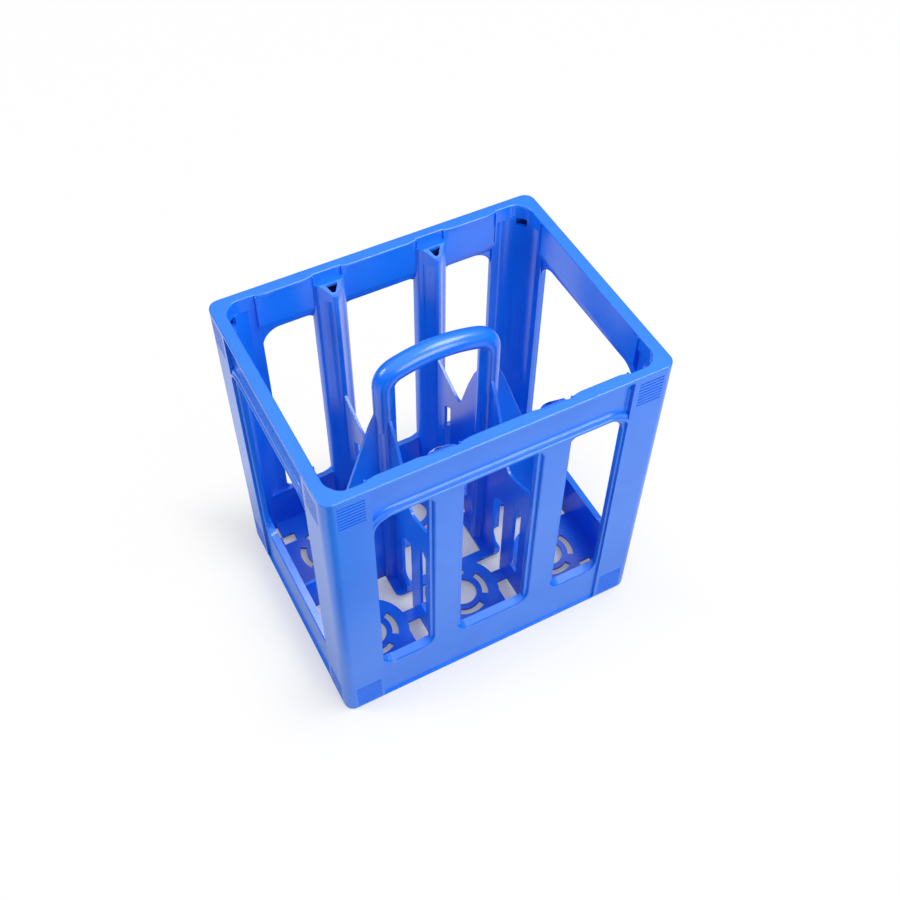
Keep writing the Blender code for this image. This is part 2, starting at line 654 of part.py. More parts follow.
# Posts: round at the top like the handle, then fluted on four sides down to the floor.
def fluted_post(name, centre_x):
    item = link(name, cylinder_mesh(name, (centre_x, 0), HANDLE_RADIUS, FLOOR_TOP + GAP, LEG_BOTTOM, 24),
                crate, finish(name))
    flute_radius = HANDLE_RADIUS - FIN_HALF
    for number in range(4):
        angle = math.radians(45 + 90 * number)
        reach = HANDLE_RADIUS * math.sqrt(2)
        place = (centre_x + reach * math.cos(angle), reach * math.sin(angle))
        profile = bmesh.new()
        rows = [(0, FLUTE_TOP + flute_radius)]
        rows += [(flute_radius * math.cos(math.radians(a)), FLUTE_TOP + flute_radius * math.sin(math.radians(a)))
                 for a in (67, 45, 22, 0)]
        rows += [(flute_radius, 0), (0, 0)]
        verts = [profile.verts.new((r, 0, z)) for r, z in rows]
        for a, b in zip(verts, verts[1:]):
            profile.edges.new((a, b))
        bmesh.ops.spin(profile, geom=profile.verts[:] + profile.edges[:], cent=(0, 0, 0), axis=(0, 0, 1),
                       angle=2 * math.pi, steps=20, use_merge=True)
        bmesh.ops.remove_doubles(profile, verts=profile.verts, dist=0.00001)
        bmesh.ops.recalc_face_normals(profile, faces=profile.faces)
        bmesh.ops.translate(profile, verts=profile.verts, vec=(place[0], place[1], 0))
        mesh = bpy.data.meshes.new(f"{name}_flute_{number}")
        profile.to_mesh(mesh)
        profile.free()
        boolean(item, link(mesh.name, mesh, tools), "DIFFERENCE")
    smooth(item)
    return item


for side, label in ((-1, "left"), (1, "right")):
    fluted_post("handle_post_" + label, side * POST_X)


# Dividers: thin slotted webs between each post and the walls.
def cross_divider_outline():
    """Web between a post and a wall column, as (distance from the crate's middle plane, height)."""
    inner = HANDLE_RADIUS + GAP
    outer = COLUMN_NOSE_Y - GAP
    low = FLOOR_TOP + GAP
    top = [(outer, 178.3 * MM), (75 * MM, 172.5 * MM), (60 * MM, 165.5 * MM)]
    top += arc((49.5 * MM, 171 * MM), 8 * MM, 290, 205, 4)
    top += [(30 * MM, 204 * MM), (20 * MM, 229 * MM), (inner, 247 * MM)]
    lobe = [(24 * MM, low), (29 * MM, 10 * MM), (32.5 * MM, 17 * MM), (33.5 * MM, 26 * MM), (30 * MM, 33 * MM)]
    return [(outer, low)] + top + [(inner, low)] + lobe + [
        (25.5 * MM, 42 * MM), (25.5 * MM, 99 * MM), (33 * MM, 108 * MM), (44 * MM, 114 * MM), (44 * MM, low)]


def cross_divider_slot():
    return [(62 * MM, 36 * MM), (73 * MM, 36 * MM), (73 * MM, 129 * MM), (62 * MM, 137 * MM)]


def end_divider_outline():
    """Web between a post and an end wall: it slopes down to the height of the sill."""
    inner = POST_X + HANDLE_RADIUS + GAP
    outer = LENGTH / 2 - WALL_DEPTH - GAP
    low = FLOOR_TOP + GAP
    sill = 49 * MM
    return [(inner, low), (70 * MM, low), (70 * MM, 85 * MM), (79 * MM, 95 * MM), (79 * MM, low), (outer, low),
            (outer, sill), (127 * MM, sill), (64 * MM, 238 * MM), (inner, 252 * MM)]


def upright_web(name, loops, place, turn):
    """A web extruded to its thickness, turned to stand in its plane."""
    half = DIVIDER_THICKNESS / 2
    item = link(name, outline_mesh(name, loops, -half, half), crate, finish(name))
    item.location = place
    item.rotation_euler = (math.pi / 2, 0, turn)
    return item


for row in (-1, 1):
    for side, label in ((-1, "left"), (1, "right")):
        upright_web(f"cross_divider_{ROW_NAMES[row]}_{label}",
                    [cross_divider_outline(), cross_divider_slot()],
                    (side * COLUMN_X, 0, 0), row * math.pi / 2)
for turn, label in ((0, "right"), (math.pi, "left")):
    upright_web("end_divider_" + label, [end_divider_outline()], (0, 0, 0), turn)
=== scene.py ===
import math

import bpy
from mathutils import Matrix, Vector


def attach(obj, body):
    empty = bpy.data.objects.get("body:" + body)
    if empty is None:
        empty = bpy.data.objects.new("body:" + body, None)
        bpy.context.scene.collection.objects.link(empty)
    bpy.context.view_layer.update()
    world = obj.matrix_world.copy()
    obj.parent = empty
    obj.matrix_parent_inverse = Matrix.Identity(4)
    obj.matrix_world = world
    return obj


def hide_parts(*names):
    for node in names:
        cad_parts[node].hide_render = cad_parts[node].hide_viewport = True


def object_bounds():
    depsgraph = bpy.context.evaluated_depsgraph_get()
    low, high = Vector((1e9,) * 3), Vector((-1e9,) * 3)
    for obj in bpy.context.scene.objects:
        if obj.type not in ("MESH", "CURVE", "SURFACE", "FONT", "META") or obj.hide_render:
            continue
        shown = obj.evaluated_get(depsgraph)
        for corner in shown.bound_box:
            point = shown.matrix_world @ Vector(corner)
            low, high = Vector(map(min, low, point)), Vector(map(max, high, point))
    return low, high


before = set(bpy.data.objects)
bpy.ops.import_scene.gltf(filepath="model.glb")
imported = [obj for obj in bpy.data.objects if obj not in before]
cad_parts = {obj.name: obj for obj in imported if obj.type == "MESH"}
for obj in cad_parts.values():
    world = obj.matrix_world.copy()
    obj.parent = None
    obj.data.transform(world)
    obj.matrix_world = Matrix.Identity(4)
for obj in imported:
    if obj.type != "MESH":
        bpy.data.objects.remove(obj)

cad_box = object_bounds()


# The setting: white paper under the crate, three large soft lamps (overhead, in front and at the left) and
# the photographer's camera, which looks down on the crate from its front left corner. The paper keeps a
# faint soft shadow.
MM = 0.001
HALF_LENGTH, HALF_WIDTH, HEIGHT = [round(value / MM) for value in cad_box[1]]


def linear(hex_colour):
    """An sRGB hex colour as linear red, green, blue and alpha."""
    values = [int(hex_colour[i:i + 2], 16) / 255 for i in (1, 3, 5)]
    return [v / 12.92 if v <= 0.04045 else ((v + 0.055) / 1.055) ** 2.4 for v in values] + [1.0]


def add_node(tree, kind, settings=(), links=()):
    """A shader node, with settings by attribute or socket and links into its sockets."""
    node = tree.nodes.new(kind)
    for name, value in dict(settings).items():
        if isinstance(name, int) or name in node.inputs:
            node.inputs[name].default_value = value
        else:
            setattr(node, name, value)
    for socket, source in dict(links).items():
        tree.links.new(source, node.inputs[socket])
    return node


camera_data = bpy.data.cameras.new("studio_camera")
camera_data.lens = 46.735
camera_data.sensor_width = 36
camera = bpy.data.objects.new("studio_camera", camera_data)
camera.location = (-0.29355, -0.56597, 0.98676)
camera.rotation_euler = [math.radians(a) for a in (38.0022, -0.4999, -27.8101)]
bpy.context.scene.collection.objects.link(camera)
bpy.context.scene.camera = camera

bpy.ops.object.select_all(action="DESELECT")
bpy.ops.mesh.primitive_plane_add(size=12, location=(0, 0, -0.5 * MM))
floor = bpy.context.active_object
floor.name = "studio_floor"

# Matt white paper. Seen by the camera or in a reflection it is as white as the photograph's ground, but under
# the crate and close to it it keeps its own tone and the shadow.
paper = bpy.data.materials.new("white_paper")
paper.use_nodes = True
tree = paper.node_tree
tree.nodes.clear()
fibre = add_node(tree, "ShaderNodeTexNoise", {"Scale": 900.0, "Detail": 2.0})
tooth = add_node(tree, "ShaderNodeBump", {"Strength": 0.03, "Distance": 0.2 * MM},
                 {"Height": fibre.outputs["Fac"]})
sheet = add_node(tree, "ShaderNodeBsdfDiffuse", {"Color": linear("#f2f2f2")},
                 {"Normal": tooth.outputs["Normal"]})
bounce = add_node(tree, "ShaderNodeBsdfDiffuse", {"Color": linear("#a6a6a6")})
spot = add_node(tree, "ShaderNodeTexCoord")
place = add_node(tree, "ShaderNodeSeparateXYZ", (), {"Vector": spot.outputs["Object"]})
across = add_node(tree, "ShaderNodeMath", {"operation": "ABSOLUTE"}, {0: place.outputs["X"]})
along = add_node(tree, "ShaderNodeMath", {"operation": "ABSOLUTE"}, {0: place.outputs["Y"]})
past_end = add_node(tree, "ShaderNodeMath", {"operation": "SUBTRACT", 1: HALF_LENGTH * MM},
                    {0: across.outputs["Value"]})
past_side = add_node(tree, "ShaderNodeMath", {"operation": "SUBTRACT", 1: HALF_WIDTH * MM},
                     {0: along.outputs["Value"]})
away = add_node(tree, "ShaderNodeMath", {"operation": "MAXIMUM"},
                {0: past_end.outputs["Value"], 1: past_side.outputs["Value"]})
# The paper's own tone fades out between 40 mm inside the crate's outline and 90 mm outside it.
SHADED, OPEN = 0.22, 0.97
lit = add_node(tree, "ShaderNodeMapRange",
               {"interpolation_type": "SMOOTHSTEP", "From Min": -0.04, "From Max": 0.09,
                "To Min": SHADED, "To Max": OPEN}, {"Value": away.outputs["Value"]})
ray = add_node(tree, "ShaderNodeLightPath")

# The crate's gloss sees the paper's glow painted darker: it falls off into the dark of the room, it is dim
# under the crate, and a painted dark patch at the front left darkens the crate's reflections there.
TO_PAINTED_DARK_PATCH, BESIDE_PAINTED_DARK_PATCH = (-0.54, -0.84, 0), (0.84, -0.54, 0)
far = add_node(tree, "ShaderNodeMapRange", {"From Min": 0.15, "From Max": 0.9, "To Min": 0.0, "To Max": 0.75},
               {"Value": away.outputs["Value"]})
under = add_node(tree, "ShaderNodeMapRange",
                 {"From Min": SHADED, "From Max": OPEN, "To Min": 0.75, "To Max": 0.0},
                 {"Value": lit.outputs["Result"]})
toward = add_node(tree, "ShaderNodeVectorMath", {"operation": "DOT_PRODUCT", 1: TO_PAINTED_DARK_PATCH},
                  {0: spot.outputs["Object"]})
aside = add_node(tree, "ShaderNodeVectorMath", {"operation": "DOT_PRODUCT", 1: BESIDE_PAINTED_DARK_PATCH},
                 {0: spot.outputs["Object"]})
off_line = add_node(tree, "ShaderNodeMath", {"operation": "ABSOLUTE"}, {0: aside.outputs["Value"]})
near_painted_dark_patch = add_node(tree, "ShaderNodeMapRange",
                      {"interpolation_type": "SMOOTHSTEP", "From Min": 0.14, "From Max": 0.32,
                       "To Min": 0.0, "To Max": 0.85}, {"Value": toward.outputs["Value"]})
in_line = add_node(tree, "ShaderNodeMapRange",
                   {"interpolation_type": "SMOOTHSTEP", "From Min": 0.05, "From Max": 0.20,
                    "To Min": 1.0, "To Max": 0.0}, {"Value": off_line.outputs["Value"]})
# A painted dark patch in the paper's glow, seen only in the crate's gloss, which darkens its reflections at
# the front left.
painted_dark_reflection = add_node(tree, "ShaderNodeMath", {"operation": "MULTIPLY"},
                 {0: near_painted_dark_patch.outputs["Result"], 1: in_line.outputs["Result"]})
darker = add_node(tree, "ShaderNodeMath", {"operation": "MAXIMUM"},
                  {0: far.outputs["Result"], 1: under.outputs["Result"]})
darkest = add_node(tree, "ShaderNodeMath", {"operation": "MAXIMUM"},
                   {0: darker.outputs["Value"], 1: painted_dark_reflection.outputs["Value"]})
dim = add_node(tree, "ShaderNodeMath", {"operation": "MULTIPLY"},
               {0: darkest.outputs["Value"], 1: ray.outputs["Is Glossy Ray"]})
bright = add_node(tree, "ShaderNodeMath", {"operation": "SUBTRACT", 0: 1.0}, {1: dim.outputs["Value"]})
glow = add_node(tree, "ShaderNodeEmission", {"Color": linear("#ffffff")},
                {"Strength": bright.outputs["Value"]})
seen = add_node(tree, "ShaderNodeMixShader", (),
                {"Fac": lit.outputs["Result"], 1: sheet.outputs["BSDF"], 2: glow.outputs["Emission"]})
either = add_node(tree, "ShaderNodeMath", {"operation": "MAXIMUM"},
                  {0: ray.outputs["Is Camera Ray"], 1: ray.outputs["Is Glossy Ray"]})
any_view = add_node(tree, "ShaderNodeMath", {"operation": "MAXIMUM"},
                    {0: either.outputs["Value"], 1: ray.outputs["Is Transmission Ray"]})
paper_mix = add_node(tree, "ShaderNodeMixShader", (),
                     {"Fac": any_view.outputs["Value"], 1: bounce.outputs["BSDF"], 2: seen.outputs["Shader"]})
add_node(tree, "ShaderNodeOutputMaterial", (), {"Surface": paper_mix.outputs["Shader"]})
floor.data.materials.append(paper)

# The room: even light on the crate, and white to the camera. The gloss mirrors a bright canopy high above
# and a dim room all round below it.
world = bpy.data.worlds.new("studio_air")
bpy.context.scene.world = world
world.use_nodes = True
tree = world.node_tree
tree.nodes.clear()
air = add_node(tree, "ShaderNodeBackground", {"Color": linear("#ffffff"), "Strength": 0.48})
backdrop = add_node(tree, "ShaderNodeBackground", {"Color": linear("#ffffff"), "Strength": 1.0})
way = add_node(tree, "ShaderNodeTexCoord")
level = add_node(tree, "ShaderNodeSeparateXYZ", (), {"Vector": way.outputs["Generated"]})
canopy = add_node(tree, "ShaderNodeMapRange",
                  {"interpolation_type": "SMOOTHSTEP", "From Min": 0.5, "From Max": 0.85,
                   "To Min": 0.2, "To Max": 1.1}, {"Value": level.outputs["Z"]})
room = add_node(tree, "ShaderNodeBackground", {"Color": linear("#ffffff")},
                {"Strength": canopy.outputs["Result"]})
ray = add_node(tree, "ShaderNodeLightPath")
lighting = add_node(tree, "ShaderNodeMixShader", (),
                    {"Fac": ray.outputs["Is Glossy Ray"], 1: air.outputs["Background"],
                     2: room.outputs["Background"]})
through = add_node(tree, "ShaderNodeMath", {"operation": "MAXIMUM"},
                   {0: ray.outputs["Is Camera Ray"], 1: ray.outputs["Is Transmission Ray"]})
air_mix = add_node(tree, "ShaderNodeMixShader", (),
                   {"Fac": through.outputs["Value"], 1: lighting.outputs["Shader"],
                    2: backdrop.outputs["Background"]})
add_node(tree, "ShaderNodeOutputWorld", (), {"Surface": air_mix.outputs["Shader"]})


def softbox(name, place, aim, size, watts):
    """A square area lamp that points at a place."""
    lamp = bpy.data.lights.new(name, "AREA")
    lamp.shape = "SQUARE"
    lamp.size = size
    lamp.energy = watts
    item = bpy.data.objects.new(name, lamp)
    bpy.context.scene.collection.objects.link(item)
    item.location = place
    item.rotation_euler = (Vector(aim) - Vector(place)).to_track_quat("-Z", "Y").to_euler()


softbox("overhead_softbox", (0.70, -0.35, 1.85), (0, 0, 0.2), 0.9, 17)
softbox("front_softbox", (0.45, -2.0, 1.1), (0, 0, 0.15), 1.3, 23)
softbox("left_softbox", (-1.8, 0.8, 1.35), (0, 0, 0.2), 0.8, 17)

bpy.context.scene.view_settings.view_transform = "Standard"


# The outer shell: rim, bands over the windows, window posts, corner posts, bottom rails and stacking foot.
# It is one injection moulding in blue high-density polyethylene, 6 mm thick round the windows and about
# 11 mm deep at the bands and rails, and it carries every other member of the crate.
def block(name, low, high):
    """A block between two corners given in millimetres, with its place in its mesh."""
    bpy.ops.object.select_all(action="DESELECT")
    bpy.ops.mesh.primitive_cube_add(size=1, location=[(a + b) / 2 * MM for a, b in zip(low, high)])
    item = bpy.context.active_object
    item.name = item.data.name = name
    item.scale = [(b - a) * MM for a, b in zip(low, high)]
    bpy.ops.object.transform_apply(location=True, rotation=True, scale=True)
    return item


def drawn(name, points, lift):
    """An outline drawn point by point in millimetres, filled, and extruded by a vector if one is given."""
    bpy.ops.object.select_all(action="DESELECT")
    bpy.ops.mesh.primitive_plane_add(size=0.01, location=[v * MM for v in points[0]])
    item = bpy.context.active_object
    item.name = item.data.name = name
    bpy.ops.object.transform_apply(location=True, rotation=True, scale=True)
    bpy.ops.object.mode_set(mode="EDIT")
    bpy.ops.mesh.select_mode(type="VERT")
    bpy.ops.mesh.select_all(action="SELECT")
    bpy.ops.mesh.merge(type="CENTER")
    for start, end in zip(points, points[1:]):
        step = [(b - a) * MM for a, b in zip(start, end)]
        bpy.ops.mesh.extrude_vertices_move(TRANSFORM_OT_translate={"value": step})
    bpy.ops.mesh.select_all(action="SELECT")
    bpy.ops.mesh.edge_face_add()
    if lift:
        bpy.ops.mesh.extrude_region_move(TRANSFORM_OT_translate={"value": [v * MM for v in lift]})
    bpy.ops.mesh.select_all(action="SELECT")
    bpy.ops.mesh.normals_make_consistent(inside=False)
    bpy.ops.object.mode_set(mode="OBJECT")
    return item


def pick(item, kind, test):
    """Open a piece in edit mode with the parts selected that pass a test of their middle and direction."""
    bpy.ops.object.select_all(action="DESELECT")
    bpy.context.view_layer.objects.active = item
    item.select_set(True)
    bpy.ops.object.mode_set(mode="EDIT")
    bpy.ops.mesh.select_mode(type=kind)
    bpy.ops.mesh.select_all(action="DESELECT")
    bpy.ops.object.mode_set(mode="OBJECT")
    spots = [vertex.co / MM for vertex in item.data.vertices]
    if kind == "EDGE":
        for edge in item.data.edges:
            a, b = (spots[i] for i in edge.vertices)
            edge.select = bool(test((a + b) / 2, (b - a).normalized()))
    elif kind == "FACE":
        for face in item.data.polygons:
            face.select = bool(test(face.center / MM, face.normal))
    else:
        for vertex in item.data.vertices:
            vertex.select = bool(test(spots[vertex.index], vertex.normal))
    bpy.ops.object.mode_set(mode="EDIT")


def merge_strays(item, reach):
    """Merge vertices that lie closer together than a reach in millimetres."""
    pick(item, "VERT", lambda place, normal: True)
    bpy.ops.mesh.remove_doubles(threshold=reach * MM)
    bpy.ops.object.mode_set(mode="OBJECT")


def round_edges(item, radius, segments, test):
    """Round the edges that pass a test."""
    pick(item, "EDGE", test)
    bpy.ops.mesh.bevel(offset=radius * MM, segments=segments, profile=0.5, affect="EDGES",
                       clamp_overlap=False)
    bpy.ops.object.mode_set(mode="OBJECT")


def upright(place, way):
    """Whether an edge stands upright."""
    return abs(way.z) > 0.9


def apply_modifier(item, kind, settings):
    """Add a modifier with its settings and apply it."""
    modifier = item.modifiers.new(kind.lower(), kind)
    for name, value in settings.items():
        setattr(modifier, name, value)
    bpy.ops.object.select_all(action="DESELECT")
    bpy.context.view_layer.objects.active = item
    item.select_set(True)
    bpy.ops.object.modifier_apply(modifier=modifier.name)


def carve(item, cutter, operation="DIFFERENCE"):
    """Cut a piece with another, or weld the other onto it, and remove the other."""
    apply_modifier(item, "BOOLEAN", {"operation": operation, "solver": "EXACT", "object": cutter})
    bpy.data.objects.remove(cutter, do_unlink=True)


def both_ways(item, x, y):
    """Add the mirror images of a piece across the crate's middle planes."""
    apply_modifier(item, "MIRROR", {"use_axis": (x, y, False), "use_mirror_merge": False})


def joined(items):
    """Several separate pieces as one mesh."""
    bpy.ops.object.select_all(action="DESELECT")
    for item in items:
        item.select_set(True)
    bpy.context.view_layer.objects.active = items[0]
    bpy.ops.object.join()
    return items[0]


def soften(item, width):
    """Round the sharp edges by a width in millimetres, if one is given, and shade the round faces smooth."""
    if width:
        apply_modifier(item, "BEVEL", {"width": width * MM, "segments": 2, "limit_method": "ANGLE",
                                       "angle_limit": math.radians(32), "use_clamp_overlap": True,
                                       "miter_outer": "MITER_ARC"})
    bpy.ops.object.select_all(action="DESELECT")
    bpy.context.view_layer.objects.active = item
    item.select_set(True)
    bpy.ops.object.shade_smooth_by_angle(angle=math.radians(40))
    apply_modifier(item, "WEIGHTED_NORMAL", {"keep_sharp": True, "weight": 60})


# Blue high-density polyethylene, injection moulded in a polished steel mould: a clean satin gloss, faint
# flow marks in the colour, and a fine uneven skin that breaks up the highlights.
plastic = bpy.data.materials.new("moulded_hdpe_satin")
plastic.use_nodes = True
tree = plastic.node_tree
shader = tree.nodes["Principled BSDF"]
spot = add_node(tree, "ShaderNodeTexCoord")
# Flow marks: 22 to the metre, so bands about 45 mm long that wander with the flow of the melt.
flow = add_node(tree, "ShaderNodeTexNoise", {"Scale": 22.0, "Detail": 3.0, "Distortion": 0.6},
                {"Vector": spot.outputs["Object"]})
pigment = add_node(tree, "ShaderNodeValToRGB", (), {"Fac": flow.outputs["Fac"]})
pigment.color_ramp.elements[0].position = 0.3
pigment.color_ramp.elements[0].color = linear("#0f77f4")
pigment.color_ramp.elements[1].position = 0.75
pigment.color_ramp.elements[1].color = linear("#167ff9")
# The skin: 650 dimples to the metre, 1.5 mm across and coarser than the real ones so that they show, over
# a slow waviness of the walls, 22 mm across.
skin = add_node(tree, "ShaderNodeTexNoise", {"Scale": 650.0, "Detail": 2.0},
                {"Vector": spot.outputs["Object"]})
wave = add_node(tree, "ShaderNodeTexNoise", {"Scale": 45.0, "Detail": 1.0},
                {"Vector": spot.outputs["Object"]})
gloss = add_node(tree, "ShaderNodeMapRange", {"To Min": 0.19, "To Max": 0.27}, {"Value": skin.outputs["Fac"]})
ripple = add_node(tree, "ShaderNodeBump", {"Strength": 0.25, "Distance": 0.6 * MM},
                  {"Height": wave.outputs["Fac"]})
peel = add_node(tree, "ShaderNodeBump", {"Strength": 0.12, "Distance": 0.1 * MM},
                {"Height": skin.outputs["Fac"], "Normal": ripple.outputs["Normal"]})
tree.links.new(pigment.outputs["Color"], shader.inputs["Base Color"])
tree.links.new(gloss.outputs["Result"], shader.inputs["Roughness"])
tree.links.new(peel.outputs["Normal"], shader.inputs["Normal"])
# Polyethylene has an index of 1.54; 1.7 matches how strongly the photographed crate mirrors its ground.
shader.inputs["IOR"].default_value = 1.7

# A solid block with round upright corners. The lowest 3 mm, the stacking foot, stand in by 0.6 mm.
CORNER, FOOT, FOOT_INSET = 9.5, 3, 0.6
shell = block("crate_shell", (-HALF_LENGTH, -HALF_WIDTH, FOOT), (HALF_LENGTH, HALF_WIDTH, HEIGHT))
round_edges(shell, CORNER, 8, upright)
pick(shell, "FACE", lambda place, normal: normal.z < -0.9)
bpy.ops.mesh.inset(thickness=FOOT_INSET * MM)
bpy.ops.mesh.extrude_region_move(TRANSFORM_OT_translate={"value": (0, 0, -FOOT * MM)})
bpy.ops.object.mode_set(mode="OBJECT")

# The hollow inside: the rails and bands are left thick, the walls between them thin, and a small lip stays
# round the rim's inner edge. The corners are open up to the ledge of the cradles.
INNER_CORNER, UNDER_RIM_X, UNDER_RIM_Y = 12, 139.9, 103.5
for name, x, y, low, high in (("inside", 139.4, 102.8, -1, 321),
                              ("under_rim", UNDER_RIM_X, UNDER_RIM_Y, -2, 316.6)):
    cavity = block(name, (-x, -y, low), (x, y, high))
    round_edges(cavity, INNER_CORNER, 8, upright)
    carve(shell, cavity)
corner = block("corner_hollow", (112.2, 76.2, 55.3), (143.9, 107.9, 305.5))
both_ways(corner, True, True)
carve(shell, corner)
THIN_X, THIN_Y, SLOPE_START, SLOPE_RISE = 144, 108, 273.3, 10.7
thin = block("thin_walls", (-THIN_X, -THIN_Y, 55.02), (THIN_X, THIN_Y, SLOPE_START))
pick(thin, "FACE", lambda place, normal: normal.z > 0.9)
bpy.ops.mesh.extrude_region_move(TRANSFORM_OT_translate={"value": (0, 0, SLOPE_RISE * MM)})
bpy.ops.transform.resize(value=(UNDER_RIM_X / THIN_X, UNDER_RIM_Y / THIN_Y, 1), center_override=(0, 0, 0))
bpy.ops.object.mode_set(mode="OBJECT")
carve(shell, thin)

# The windows: three in each long wall and one in each end. Their sills fall outwards, and their heads rise
# outwards to the strip. Their corners are round, most of all the upper ones beside the corner posts.
SILL, HEAD, EDGE = 50.5, 275, 1.4
SILL_RISE, HEAD_DROP, HEAD_SLOPE = 6.5, 8.95, 0.785


def window_cutter(name, low, high, way):
    """A window with rounded corners, whose edge is rounded on the outside, cut along the y or the x way."""
    outer = -111.5 if way == "y" else 147.5
    axis, across = (1, 0) if way == "y" else (0, 1)
    step = 1 if outer > 0 else -1
    inner = outer - 14 * step
    corners = [[low, inner, SILL], [high, outer - EDGE * step, HEAD]]
    if way == "x":
        corners = [[b, a, z] for a, b, z in corners]
    cutter = block(name, [min(a, b) for a, b in zip(*corners)], [max(a, b) for a, b in zip(*corners)])
    for side in (low, high):
        for upper in (False, True):
            radius = 12 if not upper else (18 if abs(side) > 70 else 9.5)
            round_edges(cutter, radius, 8, lambda place, along: abs(along[axis]) > 0.9
                        and abs(place[across] - side) < 0.1 and (place.z > 200) == upper
                        and (abs(place.z - SILL) < 0.1 or abs(place.z - HEAD) < 0.1))
    for upper, shift in ((True, -HEAD_DROP), (False, SILL_RISE)):
        pick(cutter, "VERT", lambda place, normal: abs(place[axis] - inner) < 0.1
             and (place.z > 150) == upper)
        bpy.ops.transform.translate(value=(0, 0, shift * MM))
        bpy.ops.object.mode_set(mode="OBJECT")
    pick(cutter, "FACE", lambda place, normal: abs(normal[axis]) > 0.9 and abs(place[axis] - outer) < 3)
    depth, spread, top = EDGE, 0, HEAD
    for angle in (30, 60, 90, None):
        new_depth = EDGE * (1 - math.sin(math.radians(angle))) if angle else -6
        new_spread = EDGE * (1 - math.cos(math.radians(angle))) if angle else spread
        rise = HEAD_SLOPE * (depth - new_depth)
        move = [0, 0, rise * MM]
        move[axis] = (depth - new_depth) * step * MM
        bpy.ops.mesh.extrude_region_move(TRANSFORM_OT_translate={"value": move})
        top += rise
        size = [1, 1, (top - SILL + new_spread) / (top - SILL + spread)]
        size[across] = (high - low + 2 * new_spread) / (high - low + 2 * spread)
        middle = [0, 0, top * MM]
        middle[across] = (low + high) / 2 * MM
        bpy.ops.transform.resize(value=size, center_override=middle)
        depth, spread = new_depth, new_spread
    bpy.ops.object.mode_set(mode="OBJECT")
    return cutter


windows = [window_cutter("window_left", -110.2, -59.9, "y"), window_cutter("window_middle", -36.4, 36.4, "y"),
           window_cutter("window_right", 59.9, 110.2, "y")]
front_windows = joined(windows)
both_ways(front_windows, False, True)
carve(shell, front_windows)
end_window = window_cutter("window_end", -74.2, 74.2, "x")
both_ways(end_window, True, False)
carve(shell, end_window)

# Between the corner posts each wall is set back, down to a thin flange at the very bottom. A slanted strip
# stands out over the windows and follows their rounded corners; above it the band is set back further, with
# a hollow fillet down to the strip. A fine bead runs along the strip's lower edge. The two profiles give
# depth from the outer face and height.
STRIP_TOP = [(4.3, 323), (4.3, 291.2), (4.25, 289.6), (4.05, 288.0), (3.65, 286.7), (3.0, 285.75),
             (2.2, 285.3), (1.4, 285.2), (0.5, 280.6), (-6, 280.6), (-6, 323)]
BEAD = [(1.4, 282.2), (0.3, 282.0), (-0.1, 281.6), (-0.25, 281.1), (-0.2, 280.5), (0.2, 280.1), (1.4, 279.9)]
SPRING, BAND_TOP, BEND = 258, 317, 18.5
STRIP_RADIUS, STRIP_START, SET_BACK, FLANGE = 21.2, 10.35, 2.5, 1.3


def turned(name, points, middle, axis):
    """A solid turned from an outline round an axis, in millimetres."""
    item = drawn(name, points, None)
    pick(item, "FACE", lambda place, normal: True)
    bpy.ops.mesh.delete(type="ONLY_FACE")
    bpy.ops.mesh.select_all(action="SELECT")
    bpy.ops.mesh.spin(steps=96, angle=math.tau, center=[v * MM for v in middle], axis=axis)
    bpy.ops.mesh.select_all(action="SELECT")
    bpy.ops.mesh.remove_doubles(threshold=0.01 * MM)
    bpy.ops.mesh.normals_make_consistent(inside=False)
    bpy.ops.object.mode_set(mode="OBJECT")
    return item


def edging(name, profile, face, half, along_x):
    """A profile run over one wall's windows and round their outer corners, mirrored to the opposite wall."""
    bend = half - BEND
    if along_x:
        run = drawn(name, [(-bend - 0.02, -face + d, z) for d, z in profile], (2 * bend + 0.04, 0, 0))
        corner = turned(name + "_bend", [(bend, -face + d, z) for d, z in profile],
                        (bend, 0, SPRING), (0, 1, 0))
        keep = block("keep", (bend, -face - 5.5, SPRING), (half, -face + 5.5, BAND_TOP))
    else:
        run = drawn(name, [(face - d, -bend - 0.02, z) for d, z in profile], (0, 2 * bend + 0.04, 0))
        corner = turned(name + "_bend", [(face - d, bend, z) for d, z in profile],
                        (0, bend, SPRING), (1, 0, 0))
        keep = block("keep", (face - 5.5, bend, SPRING), (face + 5.5, half, BAND_TOP))
    carve(corner, keep, "INTERSECT")
    both_ways(corner, along_x, not along_x)
    carve(run, block("top", (-200, -200, BAND_TOP), (200, 200, BAND_TOP + 20)))
    carve(run, corner, "UNION")
    both_ways(run, not along_x, along_x)
    return run


for face, half, along_x in ((HALF_WIDTH, 112, True), (HALF_LENGTH, 76, False)):
    arch = [(half - BEND + STRIP_RADIUS * math.sin(math.radians(a)),
             SPRING + STRIP_RADIUS * math.cos(math.radians(a))) for a in range(0, 61, 6)]
    rise = [(half, FLANGE), (half, SPRING + STRIP_START)] + arch[::-1]
    lower = rise + [(-x, z) for x, z in rise[::-1]]
    if along_x:
        panel = drawn("lower_panel", [(x, -face + SET_BACK, z) for x, z in lower], (0, -9, 0))
    else:
        panel = drawn("lower_panel", [(face - SET_BACK, y, z) for y, z in lower], (9, 0, 0))
    both_ways(panel, not along_x, along_x)
    carve(shell, panel)
    carve(shell, edging("band_recess", STRIP_TOP, face, half - 0.07, along_x))
    merge_strays(shell, 0.003)
    carve(shell, edging("bead", BEAD, face, half - 0.03, along_x), "UNION")

